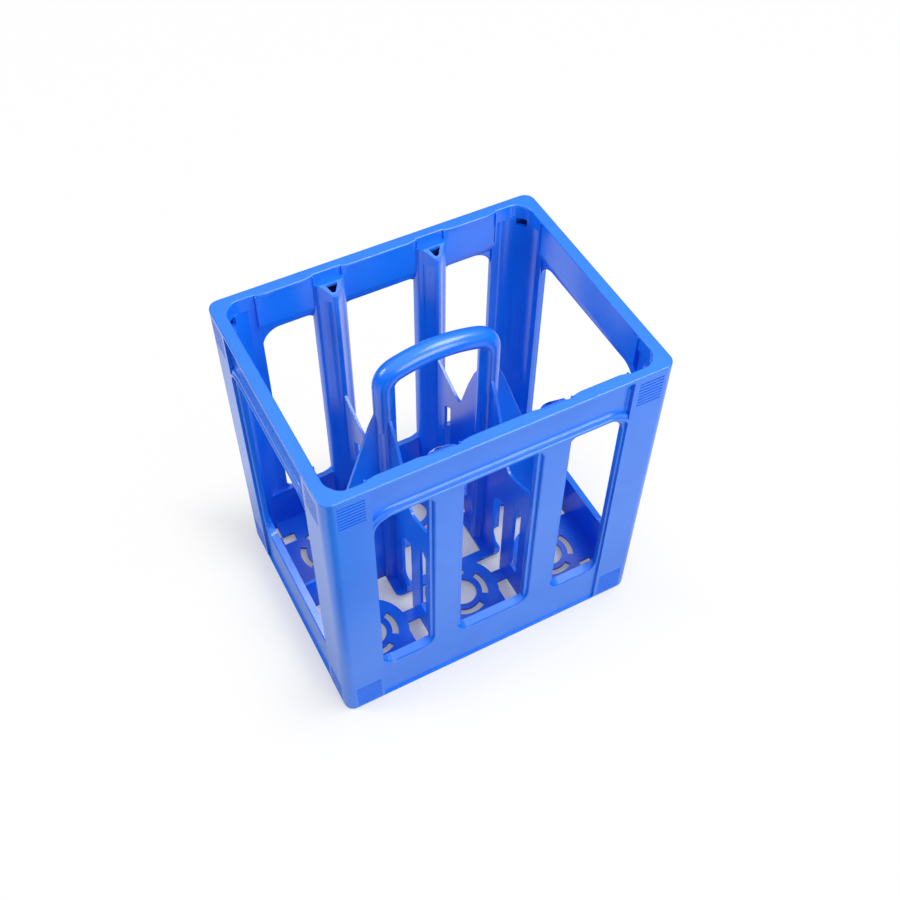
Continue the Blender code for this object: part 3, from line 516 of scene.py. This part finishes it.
# The rim's inner edge steps back over the columns and in the corners.
pocket = drawn("column_pocket", [(35.4, 105.4, 310.5), (35.4, 104.4, 310.5), (26.5, 102.7, 310.5),
                                 (26.5, 101, 310.5), (69.1, 101, 310.5), (69.1, 102.7, 310.5),
                                 (60.2, 104.4, 310.5), (60.2, 105.4, 310.5)], (0, 0, 11))
both_ways(pocket, True, True)
carve(shell, pocket)
NOOK = (137.4, 105.3)
nook = drawn("corner_pocket", [(112, 105.3, 305), (112, 104.4, 305), (103, 102.7, 305), (103, 74, 305),
                               (138.9, 74, 305), (139.6, 75, 305), (137.4, 77.5, 305), (*NOOK, 305)],
             (0, 0, 16))
round_edges(nook, INNER_CORNER, 8, lambda place, way: upright(place, way)
            and (Vector(place.xy) - Vector(NOOK)).length < 1)
both_ways(nook, True, True)
carve(shell, nook)

# Small upright ribs stiffen the rim on both sides of each column and at the ends of the corner pockets.
ridges = [block("ridge", low, high) for low, high in (
    ((34.25, 103.2, 284.3), (35.55, 107.1, 318.7)), ((60.05, 103.2, 284.3), (61.35, 107.1, 318.7)),
    ((110.7, 102.6, 286.2), (112.1, 108.5, 318.7)), ((138.5, 74.7, 286.2), (144.5, 76.1, 318.7)))]
ridges = joined(ridges)
both_ways(ridges, True, True)
carve(shell, ridges, "UNION")

# The rim's edges are rounded by a millimetre.
round_edges(shell, 1.1, 3, lambda place, way: abs(place.z - HEIGHT) < 0.05 and abs(way.z) < 0.1)

# Grips: eight grooves near the top of both faces of each corner post leave fine ribs between them, and ten
# grooves give the lower corners a hold for the fingers.
grooves = []
for number in range(8):
    z = 287 + number * 3.5
    grooves += [block("groove", (117, 113.2, z - 0.8), (139, 116, z + 0.8)),
                block("groove", (149.2, 81, z - 0.8), (152, 103, z + 0.8))]
for number in range(10):
    z = 5.1 + number * 3.2
    grooves += [block("groove", (115.5, 113.1, z - 0.8), (139.5, 116, z + 0.8)),
                block("groove", (149.1, 79.5, z - 0.8), (152, 103.5, z + 0.8))]
grooves = joined(grooves)
both_ways(grooves, True, True)
carve(shell, grooves)
soften(shell, 0)
shell.data.materials.append(plastic)
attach(shell, "root")
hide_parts("rim", "stacking_foot", *[f"{side}_{part}" for side in ("front", "back", "left", "right")
                                             for part in ("rail", "band")],
            *[f"{kind}_{row}_{side}" for kind in ("corner_post", "window_post") for row in ("front", "back")
              for side in ("left", "right")])


# Wall columns: hollow three-sided uprights behind the window posts, moulded in one with them. Their flanks
# cradle the bottles, and their tops slant down to the nose, with a raised rim round the hole. They grow
# slimmer upwards, so that they leave the mould.
COLUMN_X, COLUMN_FOOT, COLUMN_LENGTH = 47.8, 4, 307.3
FLANK = [(15, 108.5), (14.9, 105.6), (14.3, 102.6), (12.9, 99.9), (10.8, 98.0), (8.4, 96.0), (5.6, 93.2),
         (3.1, 90.0), (2.0, 88.9), (0.7, 88.4)]
outline = [(COLUMN_X + x, y, COLUMN_FOOT) for x, y in FLANK]
outline += [(COLUMN_X - x, y, COLUMN_FOOT) for x, y in FLANK[::-1]]
column = drawn("wall_columns", outline, (0, 0, COLUMN_LENGTH))
for upper, depth in ((True, 0.9), (False, 1.12)):
    pick(column, "VERT", lambda place, normal: (place.z > 150) == upper and place.y < 104)
    bpy.ops.transform.resize(value=(1, depth, 1), center_override=(0, 0.104, 0))
    bpy.ops.object.mode_set(mode="OBJECT")


def slant(lift):
    """All that stands above the slanted plane of the column tops, or above a plane a little higher."""
    return drawn("slant", [(20, 99, 312.36 + lift), (20, 80, 292.22 + lift), (20, 80, 330), (20, 99, 330)],
                 (56, 0, 0))


carve(column, slant(0))
hole_rim = drawn("column_rim", [(COLUMN_X + x, y, 296) for x, y in (
    (-10.6, 98), (10.6, 98), (2.6, 90.6), (-2.6, 90.6))], (0, 0, 30))
carve(hole_rim, slant(0.9))
carve(column, hole_rim, "UNION")
hollow = drawn("column_hollow", [(COLUMN_X + x, y, 60) for x, y in (
    (-11.6, 105.6), (11.6, 105.6), (10.6, 101.5), (7.2, 98.4),
    (1.6, 92.6), (-1.6, 92.6), (-7.2, 98.4), (-10.6, 101.5))], (0, 0, 248.6))
carve(hollow, slant(-1.3))
carve(column, hollow)
bore = drawn("column_bore", [(COLUMN_X + x, y, 280) for x, y in (
    (-5.7, 97.3), (5.7, 97.3), (1.5, 92.1), (-1.5, 92.1))], (0, 0, 45))
round_edges(bore, 0.7, 3, upright)
carve(column, bore)
soften(column, 0.4)
both_ways(column, True, True)
column.data.materials.append(plastic)
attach(column, "root")
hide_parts(*[f"wall_column_{row}_{side}" for row in ("front", "back") for side in ("left", "right")])


# Corner cradles: curved panels inside the corners that steady a bottle, of the same polyethylene and
# moulded in one with the walls. A ledge with a drain hole closes each at the top.
def curve_points(centre, radius, start, end, steps, z):
    """Points along an arc in a level plane, angles in degrees."""
    angles = [math.radians(start + (end - start) * i / steps) for i in range(steps + 1)]
    return [(centre[0] + radius * math.cos(a), centre[1] + radius * math.sin(a), z) for a in angles]


BOTTLE = (113.7, 77.7)
front = [(142.2, 74.25, 4)] + curve_points(BOTTLE, 30, 8, 82, 22, 4) + [(110.25, 106.2, 4)]
back = [(110.25, 110, 4), (114, 110.9, 4)] + curve_points(BOTTLE, 33.2, 86, 4, 24, 4)
back += [(146.9, 78, 4), (146, 74.25, 4)]
cradle = drawn("corner_cradles", front + back, (0, 0, 302.5))
ledge_front = curve_points(BOTTLE, 30.4, 0, 90, 24, 303.5)
ledge = drawn("cradle_ledge", ledge_front + [(113.7, 111, 303.5), (147, 111, 303.5), (147, 77.7, 303.5)],
              (0, 0, 3))
carve(cradle, ledge, "UNION")
drain = drawn("cradle_drain", [(126.3, 96.5, 298.8), (132.2, 90.6, 298.8), (142.6, 99.0, 298.8),
                               (142.0, 105.6, 298.8), (134.7, 106.4, 298.8)], (0, 0, 30))
carve(cradle, drain)
soften(cradle, 0.5)
both_ways(cradle, True, True)
cradle.data.materials.append(plastic)
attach(cradle, "root")
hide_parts(*[f"corner_cradle_{row}_{side}" for row in ("front", "back")
                      for side in ("left", "right")])


# The floor: a slotted rest ring under each bottle, tied by bars and by a foot plate under each post. It is
# 3 mm of the same polyethylene, moulded in one with the walls and clear of the ground by 5 mm.
LOW, TOP = 5, 8
REST_X, REST_Y, REST_RADIUS = 97, 53, 36
HOLE, SLOT_IN, SLOT_OUT, HALF_SLOT = 14, 19.5, 25.5, 31


def disc(name, centre, radius, low, high, sides):
    """A round plate, in millimetres."""
    bpy.ops.object.select_all(action="DESELECT")
    bpy.ops.mesh.primitive_cylinder_add(vertices=sides, radius=radius * MM, depth=(high - low) * MM,
                                        location=(centre[0] * MM, centre[1] * MM, (low + high) / 2 * MM))
    item = bpy.context.active_object
    item.name = item.data.name = name
    bpy.ops.object.transform_apply(location=True, rotation=True, scale=True)
    return item


def slotted(item, centre):
    """Cut the round hole and the four curved slots of one rest ring."""
    cutters = [disc("ring_hole", centre, HOLE, 2, 11, 48)]
    for middle in (0, 90, 180, 270):
        outer = curve_points(centre, SLOT_OUT, middle - HALF_SLOT, middle + HALF_SLOT, 14, 2)
        inner = curve_points(centre, SLOT_IN, middle + HALF_SLOT, middle - HALF_SLOT, 14, 2)
        cutters.append(drawn("ring_slot", outer + inner, (0, 0, 9)))
    carve(item, joined(cutters))


end_rest = disc("floor_end_rests", (REST_X, REST_Y), REST_RADIUS, LOW, TOP, 72)
carve(end_rest, block("tongue", (64, 67, LOW), (130, 104, TOP)), "UNION")
carve(end_rest, block("end_tongue", (111, 20, LOW), (140, 86, TOP)), "UNION")
slotted(end_rest, (REST_X, REST_Y))
carve(end_rest, block("drain", (118, 76, 2), (131, 86, 11)))
soften(end_rest, 0.4)
both_ways(end_rest, True, True)
middle_rest = disc("floor_middle_rests", (0, REST_Y), REST_RADIUS, LOW, TOP, 72)
carve(middle_rest, block("tongue", (-33, 67, LOW), (33, 104, TOP)), "UNION")
carve(middle_rest, block("shoulder", (-36.5, 19, LOW), (36.5, 29, TOP)), "UNION")
slotted(middle_rest, (0, REST_Y))
soften(middle_rest, 0.4)
both_ways(middle_rest, False, True)
plate = drawn("post_foot", [(x, y, LOW) for x, y in (
    (36, -29), (58, -29), (58, 29), (36, 29), (36, 19), (39, 19), (39, -19), (36, -19))], (0, 0, TOP - LOW))
round_edges(plate, 6, 6, lambda place, way: upright(place, way) and place.x > 57)
soften(plate, 0.4)
both_ways(plate, True, False)
bar = block("floor_bar", (35, 47, LOW), (62, 59, TOP))
soften(bar, 0.4)
both_ways(bar, True, True)
crate_floor = joined([end_rest, middle_rest, plate, bar])
crate_floor.name = crate_floor.data.name = "crate_floor"
crate_floor.data.materials.append(plastic)
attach(crate_floor, "root")
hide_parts(*[f"bottle_rest_{row}_{place}" for row in ("front", "back")
                           for place in ("left", "middle", "right")],
            "post_foot_left", "post_foot_right",
            *[f"floor_bar_{row}_{side}" for row in ("front", "back") for side in ("left", "right")])


# Cross dividers: 3 mm webs of the same polyethylene that run from the handle posts to the wall columns and
# are moulded onto both. Each has a V-shaped top, so that the hand reaches the handle, and upright slots.
CROSS_WEB = [(89, 5), (89, 178.6), (75, 172.5), (60, 165.5)]
CROSS_WEB += [(y, z) for y, z, _ in curve_points((49.5, 171), 8, 290, 205, 8, 0)]
CROSS_WEB += [(30, 204), (20, 229), (8, 250), (8, 5), (24, 5), (29, 10), (32.5, 17), (33.5, 26), (30, 33),
              (25.5, 42), (25.5, 99), (33, 108), (44, 114), (44, 5)]
web = drawn("cross_dividers", [(46.3, y, z) for y, z in CROSS_WEB], (3, 0, 0))
carve(web, drawn("web_slot", [(40, y, z) for y, z in ((62, 36), (73, 36), (73, 129), (62, 137))], (16, 0, 0)))
soften(web, 0.4)
both_ways(web, True, True)
web.data.materials.append(plastic)
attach(web, "root")
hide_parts(*[f"cross_divider_{row}_{side}" for row in ("front", "back") for side in ("left", "right")])


# End dividers: webs of the same make that slope from the handle posts down to the sills of the end walls
# and part the two bottles of each end.
END_WEB = [(56, 5), (70, 5), (70, 85), (79, 95), (79, 5), (140, 5), (140, 49), (127, 49), (64, 238),
           (56, 256)]
web = drawn("end_dividers", [(x, -1.5, z) for x, z in END_WEB], (0, 3, 0))
soften(web, 0.4)
both_ways(web, True, False)
web.data.materials.append(plastic)
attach(web, "root")
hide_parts("end_divider_left", "end_divider_right")


# Handle bow: a round bar with a slight arch, bent down into two legs. It is of the same polyethylene and
# moulded in one with the posts, so it doesn't turn.
LEG_X, BAR_RADIUS, LEG_FOOT, LEG_TOP = 48.5, 9.4, 236, 281.5
bpy.ops.object.select_all(action="DESELECT")
bpy.ops.mesh.primitive_circle_add(vertices=32, radius=BAR_RADIUS * MM, fill_type="NOTHING",
                                  location=(LEG_X * MM, 0, LEG_FOOT * MM))
bow = bpy.context.active_object
bow.name = bow.data.name = "handle_bow"
bpy.ops.object.transform_apply(location=True, rotation=True, scale=True)
pick(bow, "VERT", lambda place, normal: True)
bpy.ops.mesh.extrude_region_move(TRANSFORM_OT_translate={"value": (0, 0, (LEG_TOP - LEG_FOOT) * MM)})
bpy.ops.mesh.spin(steps=12, angle=math.radians(72.2), center=(32 * MM, 0, LEG_TOP * MM), axis=(0, 1, 0))
bpy.ops.mesh.spin(steps=8, angle=math.radians(17.8), center=(0, 0, 181.8 * MM), axis=(0, 1, 0))
bpy.ops.object.mode_set(mode="OBJECT")
apply_modifier(bow, "MIRROR", {"use_axis": (True, False, False), "use_mirror_merge": True,
                               "merge_threshold": 0.4 * MM})
pick(bow, "VERT", lambda place, normal: True)
bpy.ops.mesh.remove_doubles(threshold=0.05 * MM)
bpy.ops.mesh.fill_holes(sides=0)
bpy.ops.mesh.normals_make_consistent(inside=False)
bpy.ops.object.mode_set(mode="OBJECT")
bpy.ops.object.shade_smooth_by_angle(angle=math.radians(40))
bow.data.materials.append(plastic)
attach(bow, "root")
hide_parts("handle_bow")


# Handle posts: star-shaped uprights of the same polyethylene with four fins, which run from the round legs
# down to the floor. The flutes between the fins taper off just under the legs.
FLUTE_OFFSET, FLUTE_RADIUS, FLUTE_TOP, FLUTE_END = 13.3, 10.0, 232, 240
post = disc("handle_posts", (LEG_X, 0), BAR_RADIUS, 5, 245, 64)
for x, y in ((1, 1), (-1, 1), (-1, -1), (1, -1)):
    centre = (LEG_X + x * FLUTE_OFFSET, y * FLUTE_OFFSET)
    flute = disc("flute", centre, FLUTE_RADIUS, 4, FLUTE_TOP, 48)
    pick(flute, "FACE", lambda place, normal: normal.z > 0.9)
    bpy.ops.mesh.extrude_region_move(
        TRANSFORM_OT_translate={"value": (0, 0, (FLUTE_END - FLUTE_TOP) * MM)})
    bpy.ops.transform.resize(value=(0.3, 0.3, 1),
                             center_override=(centre[0] * MM, centre[1] * MM, FLUTE_END * MM))
    bpy.ops.object.mode_set(mode="OBJECT")
    carve(post, flute)
merge_strays(post, 0.01)
soften(post, 0)
both_ways(post, True, False)
post.data.materials.append(plastic)
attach(post, "root")
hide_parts("handle_post_left", "handle_post_right")
